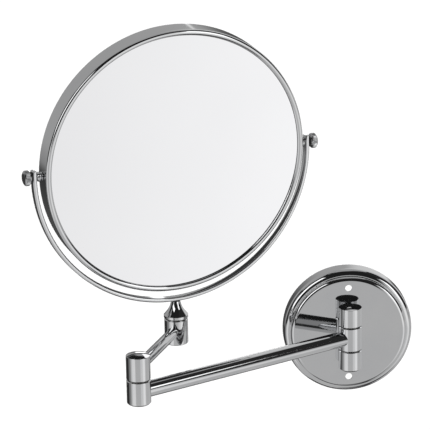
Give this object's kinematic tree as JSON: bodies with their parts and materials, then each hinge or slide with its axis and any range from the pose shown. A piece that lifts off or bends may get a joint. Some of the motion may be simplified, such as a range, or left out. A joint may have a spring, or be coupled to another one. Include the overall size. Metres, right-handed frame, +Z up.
{
  "type": "extendable shaving mirror",
  "caption": "Wall-mounted round two-sided shaving mirror: a pressed wall plate, a swing arm with an elbow, and a half-round yoke in which the mirror tilts.",
  "frame": {"origin": "middle of the wall plate's back, on the wall's surface", "axes": "+Y into the wall, +Z up, so the mirror stands out from the wall towards -Y and the arm goes out to the left (-X) at rest"},
  "size_m": [0.2952, 0.1325, 0.3045],
  "materials": {
    "chrome": "polished",
    "mirror": "silvered glass",
    "steel": "machined",
    "nylon": "matte",
    "black_plastic": "matte",
    "rubber": "matte"
  },
  "bodies": {
    "wall_bracket": {"wall_plate": "chrome", "wall_spacer": "black_plastic", "bracket_screw_upper": "steel", "bracket_screw_lower": "steel", "upper_bracket_knuckle": "chrome", "lower_bracket_knuckle": "chrome", "base_pivot_pin": "steel", "base_end_cap": "chrome", "base_washer_upper": "nylon", "base_washer_lower": "nylon"},
    "main_arm": {"base_swivel_knuckle": "chrome", "base_bush": "nylon", "main_arm_tube": "chrome", "elbow_lower_knuckle": "chrome", "elbow_bush": "nylon", "elbow_end_cap": "chrome"},
    "forearm": {"elbow_upper_knuckle": "chrome", "elbow_pivot_pin": "steel", "elbow_washer": "nylon", "forearm_tube": "chrome", "stem_socket": "chrome", "stem_bush": "nylon"},
    "yoke": {"stem_cone": "chrome", "stem_washer": "nylon", "stem_stud": "steel", "stem_lock_nut": "steel", "stem_spring_washer": "steel", "yoke_band": "chrome", "yoke_washer_left": "black_plastic", "yoke_washer_right": "black_plastic"},
    "mirror_head": {"mirror_rim": "chrome", "front_glass": "mirror", "glass_gasket": "rubber", "inner_frame": "black_plastic", "magnifying_glass": "mirror", "rear_bezel": "chrome", "pivot_boss_left": "steel", "pivot_boss_right": "steel", "pivot_bead_left": "chrome", "pivot_bead_right": "chrome"},
    "left_thumbscrew": {"thumbscrew_left": "chrome"},
    "right_thumbscrew": {"thumbscrew_right": "chrome"}
  },
  "joints": [
    {"name": "arm_swing", "type": "hinge", "parent": "wall_bracket", "child": "main_arm", "pos_m": [0, -0.0275, 0], "axis": [0, 0, 1], "range_deg": [-30, 150]},
    {"name": "elbow_swing", "type": "hinge", "parent": "main_arm", "child": "forearm", "pos_m": [-0.16645, -0.1236, 0], "axis": [0, 0, 1], "continuous": true},
    {"name": "stem_swivel", "type": "hinge", "parent": "forearm", "child": "yoke", "pos_m": [-0.13411, -0.04629, 0], "axis": [0, 0, 1], "continuous": true},
    {"name": "mirror_tilt", "type": "hinge", "parent": "yoke", "child": "mirror_head", "pos_m": [-0.13411, -0.04629, 0.15275], "axis": [0.9489, 0.3156, 0], "continuous": true},
    {"name": "left_thumbscrew_turn", "type": "hinge", "parent": "mirror_head", "child": "left_thumbscrew", "pos_m": [-0.13411, -0.04629, 0.15275], "axis": [0.9489, 0.3156, 0], "range_deg": [0, 360]},
    {"name": "right_thumbscrew_turn", "type": "hinge", "parent": "mirror_head", "child": "right_thumbscrew", "pos_m": [-0.13411, -0.04629, 0.15275], "axis": [0.9489, 0.3156, 0], "range_deg": [0, 360]}
  ]
}
